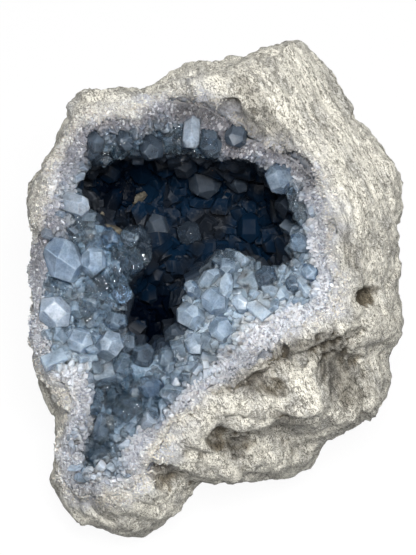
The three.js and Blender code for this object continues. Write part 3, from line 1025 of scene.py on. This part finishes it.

# %% [markdown]
# ## Where painted shade gathers
# The limestone is painted darker where the rock shelters it. Eight rays from each vertex find out how much
# stone stands close round it. Other numbers say how near the lining is, with a ragged border, and what lies
# behind it.

# %% Shelter
OCCLUSION_REACH = 16.0
RIM = (9.0, 0.0)  # how far from the lining its edge begins to colour the stone, and does so fully
NEAR = (16.0, 2.0)  # the same for the grey round it


def sheltered(mesh, reach):
    """How much of the half space over each vertex is blocked within reach, 0 to 1."""
    shape = bmesh.new()
    shape.from_mesh(mesh)
    tree = BVHTree.FromBMesh(shape)
    shape.free()
    places, normals = vertex_arrays(mesh)
    probes = [Vector((math.sin(t) * 0.75, math.cos(t) * 0.75, 0.66)) for t in np.arange(8) * math.tau / 8]
    blocked = np.zeros(len(places))
    for i, (place, normal) in enumerate(zip(places, normals)):
        normal = Vector(normal)
        turn = normal.to_track_quat("Z", "Y")
        start = Vector(place) + normal * 0.4 * MM
        blocked[i] = sum(tree.ray_cast(start, turn @ probe, reach)[0] is not None for probe in probes)
    return blocked / len(probes)


blocked = sheltered(rock.data, OCCLUSION_REACH * MM)
print("stone blocks", round(100 * blocked.mean()), "% of the view from the rock")
wander = 8 * ragged(points, 14) + 4 * ragged(points, 5)
add_numbers(
    rock.data,
    "POINT",
    relief=np.clip(0.5 + relief / 5, 0, 1),
    shelter=blocked,
    rim=smooth_step(*RIM, to_lining + wander),
    near=smooth_step(*NEAR, to_lining + wander),
    inside=1 - shown,
    stain=rock_stain,
)

# %% [markdown]
# ## The bed of the lining
# Between the small crystals one sees the massive celestite that they grow from. The lining's surface is
# where their tips end, so the bed lies a millimetre or two lower, and less where a large crystal stands on
# it or where the lining is thin.

# %% Bed
BED_VOXEL = 1.5
BED_SINK = 1.4
SINK_BESIDE = (0.8, 4.0)  # how far from a large crystal the bed begins to sink, and sinks fully
SINK_REACH = (0.0, 6.0)  # and how far from the bare stone
LOOSE = (0.5, 1.4)  # how far from the rock the bed begins to move, and moves freely
bed = remeshed("celestite_bed", lining_shape, BED_VOXEL, rock_tree, 0)
points, normals = vertex_arrays(bed.data)


def thickness(point, normal):
    """How thick the lining is under a point, in millimetres."""
    hit = lining_tree.ray_cast(Vector(point) - Vector(normal) * 0.2 * MM, -Vector(normal))[3]
    return (hit or 0) / MM


thick = np.array([thickness(p, n) for p, n in zip(points, normals)])
sink = np.minimum(BED_SINK, thick / 2) * smooth_step(*SINK_BESIDE, distances(large_tree, points))
sink *= 1 + 0.5 * ragged(points, 5) + 0.3 * ragged(points, 2.5)
to_bare = distances(bare_tree, points)
rise = relief_at(points, normals)[0] * smooth_step(*RIM_BLEND, to_bare)
rise -= sink * smooth_step(*SINK_REACH, to_bare)
points += normals * (rise * smooth_step(*LOOSE, distances(rock_tree, points)))[:, None] * MM
bed.data.vertices.foreach_set("co", points.ravel())
bed.data.update()
add_numbers(
    bed.data, "POINT", tint=0.5 + 0.4 * ragged(points, 3), inner=0.5 + 0.5 * ragged(points, 2),
    **looks_of(nearest_spots(points)),
)

# %% [markdown]
# ## The large crystals
# Each keeps the place and the faces that the model gives it. Their edges are worn in the same way, and
# they carry the same numbers as the small crystals, from the nearest spots or from a list of their own.

# %% Large crystals
WEAR = 0.4
OWN_LOOKS = {
    # milkiness, tint, light, which sets their painted shade, and whiteness of the ones that differ from the
    # crystals round them
    "top_rim_crystal_1": (0.5, 1, 0.62, 0.3),
    "top_rim_crystal_2": (0.4, 0.6, 0.58, 0),
    "right_rim_crystal_1": (0.45, 0.8, 0.66, 0.15),
    "left_rim_cluster_2": (0.75, 0.9, 1, 0),
    "left_rim_crystal_1": (0.5, 1, 1, 0.3),
    "left_rim_crystal_2": (0.5, 0.9, 1, 0.3),
    "left_rim_cluster_1": (0.65, 1, 1, 0.1),
    "far_wall_crystal_1": (0.4, 0.5, 0.38, 0.3),
    "far_wall_crystal_2": (0.4, 0.4, 0.38, 0.3),
    "far_wall_crystal_3": (0.5, 0.7, 0.40, 0.2),
    "far_wall_crystal_4": (0.2, 0.2, 0.4, 0),
    "top_rim_crystal_3": (0.4, 0.6, 0.46, 0.2),
    "top_rim_crystal_4": (0.4, 0.4, 0.44, 0.05),
    "top_rim_crystal_5": (0.4, 0.5, 0.5, 0.1),
    "top_rim_crystal_6": (0.4, 0.5, 0.47, 0.1),
    "lip_crystal_1": (0.6, 1, 1, 0.05),
    "lip_crystal_2": (0.55, 0.9, 0.95, 0),
    "lip_crystal_3": (0.45, 0.2, 0.55, 0),
    "lip_crystal_4": (0.4, 0.5, 0.65, 0.05),
    "lip_crystal_5": (0.9, 1, 1, 0.15),
    "lip_crystal_6": (0.8, 1, 1, 0.05),
    "lip_crystal_7": (0.5, 0.7, 0.9, 0),
}


def large_crystal(name):
    shape = merged([name])
    bmesh.ops.dissolve_limit(shape, angle_limit=math.radians(1), verts=shape.verts, edges=shape.edges)
    bmesh.ops.dissolve_degenerate(shape, dist=WEAR * MM, edges=shape.edges)
    wear(shape, WEAR * MM)
    piece = meshed(name + "_polished", shape)
    mesh = piece.data
    numbers = [face.material_index for face in shape.faces]
    shape.free()
    mesh.polygons.foreach_set("material_index", [0] * len(numbers))
    near = nearest_spots(vertex_arrays(mesh)[0])
    usual_look = (milk[near].mean(), dice.uniform(0, 0.9), np.median(light[near]), 0)
    own_milk, own_tint, own_light, own_white = OWN_LOOKS.get(name, usual_look)
    one = np.ones(len(mesh.vertices))
    add_numbers(mesh, "POINT", crust=own_white * one, stone=0 * one, light=own_light * one,
                milk=own_milk * one, tint=own_tint * one, inner=inner_tones.random(len(one)))
    # Each face's random tone is in part a painted reflection.
    tones = dice.random(WORN + 1)[numbers]
    add_numbers(mesh, "FACE", facet=tones, worn=[number == WORN for number in numbers])
    rounded(piece)
    return piece


large = [large_crystal(name) for name in large_names]
for piece, name in zip(large, large_names):
    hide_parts(name)
print(sum(len(piece.data.polygons) for piece in large), "faces on the large crystals")

# %% [markdown]
# ## Limestone
# The stone is cream where it is fresh and grey where it is weathered, with sand-sized grains, and drifts
# and thin dark lines that lie along the streaks. Sheltered and low places are darkened with painted shade,
# the marks with stains and, on their undersides, painted shade, and beside the lining the pores are filled
# with grey-blue celestite.

# %% Limestone material
def streaked(start, length):
    """Object coordinates squeezed along the streaks by length."""
    squeezed = {}
    for axis, way, scale in ((0, STREAK, 1 / length), (1, ACROSS, 1), (2, BEVEL, 1)):
        settings = {"operation": "DOT_PRODUCT"}
        along = start.make("VectorMath", settings, {0: start.place, 1: towards(way)}, "Value")
        squeezed[axis] = along * scale
    return start.make("CombineXYZ", {}, squeezed)


def limestone():
    material, start = blank("limestone")
    relief, rim, near, shelter, stain, inside = painted(
        start, "relief", "rim", "near", "shelter", "stain", "inside"
    )
    grain = streaked(start, 3.2)
    drifts = clouds(start, 9, 4, 0.65, grain)
    mottle = clouds(start, 4, 4, 0.65, grain)
    sand = clouds(start, 0.6, 2, 0.7)
    lines = (clouds(start, 1.5, 3, 0.6, grain) - 0.5)
    lines = (lines * lines).between(0.0014, 0.0) * mottle.between(0.3, 0.55)
    colour = drifts.between(0.46, 0.66).mixed((0.71, 0.68, 0.59, 1), (0.37, 0.36, 0.325, 1))
    colour = sand.between(0.48, 0.34).mixed(colour, (0.24, 0.225, 0.185, 1))
    colour = sand.between(0.54, 0.68).mixed(colour, (0.82, 0.80, 0.75, 1))
    colour = (lines * 0.9).mixed(colour, (0.11, 0.10, 0.08, 1))
    # The marks darken the stone: in part stain, in part painted shade on their undersides.
    stain_and_shade_mottled = (stain * (0.5 + mottle)).clamped()
    # Painted shade: places that the stone shelters, and low places of the relief, are darker.
    hollow = (shelter + 0.4 * mottle - 0.25 * relief).between(0.2, 0.75)
    colour = hollow.darkened(colour, (0.38, 0.34, 0.28, 1))
    colour = (near * 0.35).mixed(colour, (0.40, 0.41, 0.44, 1))
    colour = (rim * sand.between(0.35, 0.6)).mixed(colour, (0.48, 0.50, 0.56, 1))
    colour = stain_and_shade_mottled.darkened(colour, (0.24, 0.23, 0.215, 1))
    colour = inside.mixed(colour, (0.10, 0.12, 0.15, 1))
    height = 0.5 * sand + 0.6 * mottle - 0.35 * lines
    inputs = {"Base Color": colour, "Roughness": 0.9, "Normal": bumped(start, height, 1.3)}
    surface(start, start.make("BsdfPrincipled", {}, inputs))
    return material


rock.data.materials.append(limestone())
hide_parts("matrix")
print("limestone is a sum of", len(rock.data.materials[0].node_tree.nodes), "nodes")

# %% [markdown]
# ## Celestite
# A clear crystal shows by what it bends and reflects, and a cloudy one by its own pale blue. Both occur
# inside one crystal, so the shader mixes a clear part, with celestite's index of refraction, and a milky
# part, which light enters a little way and leaves again. A cleaved crystal isn't one smooth face, so its
# normal leans a little, cell by cell, and pale cracks run between cells; worn edges are a little paler,
# in part a painted highlight. Crust is duller, lilac to white, and takes the stone's colour where the two
# mix. Deep in the hollow hardly any light comes back, and a dim part with painted shade takes over there,
# navy to almost black, with grey faces that are painted reflections, and specks of iron.

# %% Cells and cleavage
CELESTITE_IOR = 1.62


def cells(start, size, feature, output):
    """Flat-sided cells about size millimetres wide."""
    inputs = {"Vector": start.place, "Scale": 1 / (size * MM)}
    return start.make("TexVoronoi", {"feature": feature}, inputs, output)


def cleaved(start, leans):
    """A normal that tilts a little, and differently, in each of many small flat-sided cells."""
    normal = start.make("NewGeometry", {}, {}, "Normal")
    for size, lean in leans:
        colour = cells(start, size, "F1", "Color")
        middle = {0: colour, 1: (0.5, 0.5, 0.5)}
        centred = start.make("VectorMath", {"operation": "SUBTRACT"}, middle)
        scaled = start.make("VectorMath", {"operation": "SCALE"}, {0: centred, "Scale": lean})
        normal = start.make("VectorMath", {"operation": "ADD"}, {0: normal, 1: scaled})
    return start.make("VectorMath", {"operation": "NORMALIZE"}, {0: normal})


# %% Celestite material
def celestite(name, clouded, glow, cleavage, absorbing):
    """Celestite with a least share of milkiness, a glow some millimetres deep, and cleavage 0 to 1."""
    material, start = blank(name)
    light, crust, stone, milk, tint, inner, facet, worn, stain = painted(
        start, "light", "crust", "stone", "milk", "tint", "inner", "facet", "worn", "stain"
    )
    veils = clouds(start, 5, 4, 0.65)
    fine = clouds(start, 0.9, 2, 0.6)
    cracks = cells(start, 2.6, "DISTANCE_TO_EDGE", "Distance").between(0.06, 0.0)
    normal = cleaved(start, ((3.4, 0.2 * cleavage), (0.9, 0.3 * cleavage)))
    cloudy = (milk + 1.1 * veils + 0.15 * facet + 0.5 * inner + 0.2 * fine - 1.1).clamped()
    clear_body = tint.mixed((0.05, 0.095, 0.145, 1), (0.11, 0.175, 0.24, 1))
    milky_body = tint.mixed((0.34, 0.44, 0.545, 1), (0.45, 0.545, 0.65, 1))
    body = cloudy.mixed(clear_body, milky_body)
    # Worn edges are a little paler, which is in part a painted highlight; the pale cracks are the crystal's
    # own.
    body = (worn * 0.08 + cracks * 0.25).clamped().mixed(body, (0.50, 0.60, 0.70, 1))
    crusty = (crust + 0.6 * fine - 0.3).clamped()
    crust_body = milk.mixed((0.19, 0.187, 0.205, 1), (0.69, 0.725, 0.80, 1))
    crust_body = (0.6 * tint.between(0.75, 1)).mixed(crust_body, (0.80, 0.82, 0.87, 1))
    crust_body = (0.7 * tint.between(0.35, 0)).mixed(crust_body, (0.16, 0.17, 0.21, 1))
    body = crusty.mixed(body, crust_body)
    body = stone.mixed(body, tint.mixed((0.42, 0.40, 0.35, 1), (0.78, 0.76, 0.69, 1)))
    # The marks' stain and painted shade darken the crystals near them as well.
    body = (stain * (0.5 + fine)).clamped().darkened(body, (0.20, 0.18, 0.15, 1))
    # Painted shade in the deep: where the light number is low, the body turns navy to almost black, with grey
    # faces that are painted reflections and rust-brown specks of iron.
    depth = light.between(0.75, 0.15)
    bluer = clouds(start, 26, 2, 0.5).between(0.6, 0.45)
    navy = bluer.mixed((0.0085, 0.011, 0.0155, 1), (0.0024, 0.0105, 0.025, 1))
    dark = (0.35 * facet * tint + 0.6 * tint * inner).between(0.25, 0.8).mixed(navy, (0.045, 0.05, 0.058, 1))
    dark = light.between(0.08, 0.4).mixed(dark, (0.028, 0.038, 0.053, 1))
    dark = (0.8 * clouds(start, 2.2, 1, 0.5).between(0.78, 0.82)).mixed(dark, (0.20, 0.09, 0.04, 1))
    dark = light.between(0.055, 0.01).mixed(dark, (0.0004, 0.0016, 0.005, 1))
    body = depth.mixed(body, dark)
    etched = start.make("Bump", {}, {"Height": fine, "Distance": 0.1 * MM, "Normal": normal})
    milky = start.make("BsdfPrincipled", {}, {
        "Base Color": body, "Roughness": 0.12 + 0.4 * crust,
        "IOR": CELESTITE_IOR, "Normal": etched, "Subsurface Weight": 1.0,
        "Subsurface Radius": (0.8, 0.9, 1.0), "Subsurface Scale": glow * MM,
    })
    # The clear part's colour is darkened in the deep by the same painted shade.
    clear_colour = depth.mixed((0.80, 0.88, 0.96, 1), (0.10, 0.18, 0.28, 1))
    clear = start.make("BsdfPrincipled", {}, {
        "Base Color": clear_colour, "Roughness": 0.05, "IOR": CELESTITE_IOR,
        "Transmission Weight": 1.0, "Normal": etched,
    })
    share = (clouded + 0.5 * cloudy + crust).clamped()
    shader = start.make("MixShader", {}, {0: share, 1: clear, 2: milky})
    dim = start.make("BsdfPrincipled", {}, {
        "Base Color": dark, "Roughness": 0.35, "IOR": CELESTITE_IOR, "Specular IOR Level": 0.08,
        "Normal": normal,
    })
    # The dim part, with its painted shade, takes over in the deep.
    shader = start.make("MixShader", {}, {0: depth, 1: shader, 2: dim})
    volume = None
    if absorbing:
        inputs = {"Color": (0.45, 0.66, 0.86, 1), "Density": 60.0}
        volume = start.make("VolumeAbsorption", {}, inputs)
    surface(start, shader, volume)
    return material


# %% Celestite on its pieces
small_celestite = celestite("small celestite", 0.15, 6, 1, False)
crust_celestite = celestite("crust of celestite", 0.3, 1.5, 1, False)
large_celestite = celestite("large celestite", 0.15, 8, 0.3, True)
bed_celestite = celestite("massive celestite", 1.0, 6, 1, False)
for piece in small_pieces:
    is_crust = piece.name.startswith("fine")
    piece.data.materials.append(crust_celestite if is_crust else small_celestite)
for piece in large:
    piece.data.materials.append(large_celestite)
bed.data.materials.append(bed_celestite)
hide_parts("druse_lining")
print(len(small_pieces) + len(large) + 1, "pieces of celestite")

# %% [markdown]
# ## Splinters of limestone
# Three chips broke off when the geode was opened and lie in the druse. Their model pieces stay as they are
# and get a tan, dusty stone.

# %% Splinter material
def tan_stone():
    material, start = blank("tan stone")
    mottle = clouds(start, 3, 4, 0.65)
    colour = mottle.between(0.35, 0.7).mixed((0.06, 0.053, 0.04, 1), (0.17, 0.154, 0.12, 1))
    height = clouds(start, 1.2, 3, 0.6)
    inputs = {"Base Color": colour, "Roughness": 0.85, "Normal": bumped(start, height, 0.8)}
    surface(start, start.make("BsdfPrincipled", {}, inputs))
    return material


dusty_tan = tan_stone()
for name in splinter_names:
    for holder in nodes[name].material_slots:
        holder.material = dusty_tan
print(len(splinter_names), "splinters in", dusty_tan.name)

# %% [markdown]
# ## The body
# Nothing moves on a geode, so every piece rides on the one body.

# %% Ride
for piece in small_pieces + large:
    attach(piece, "root")
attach(bed, "root")
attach(rock, "root")
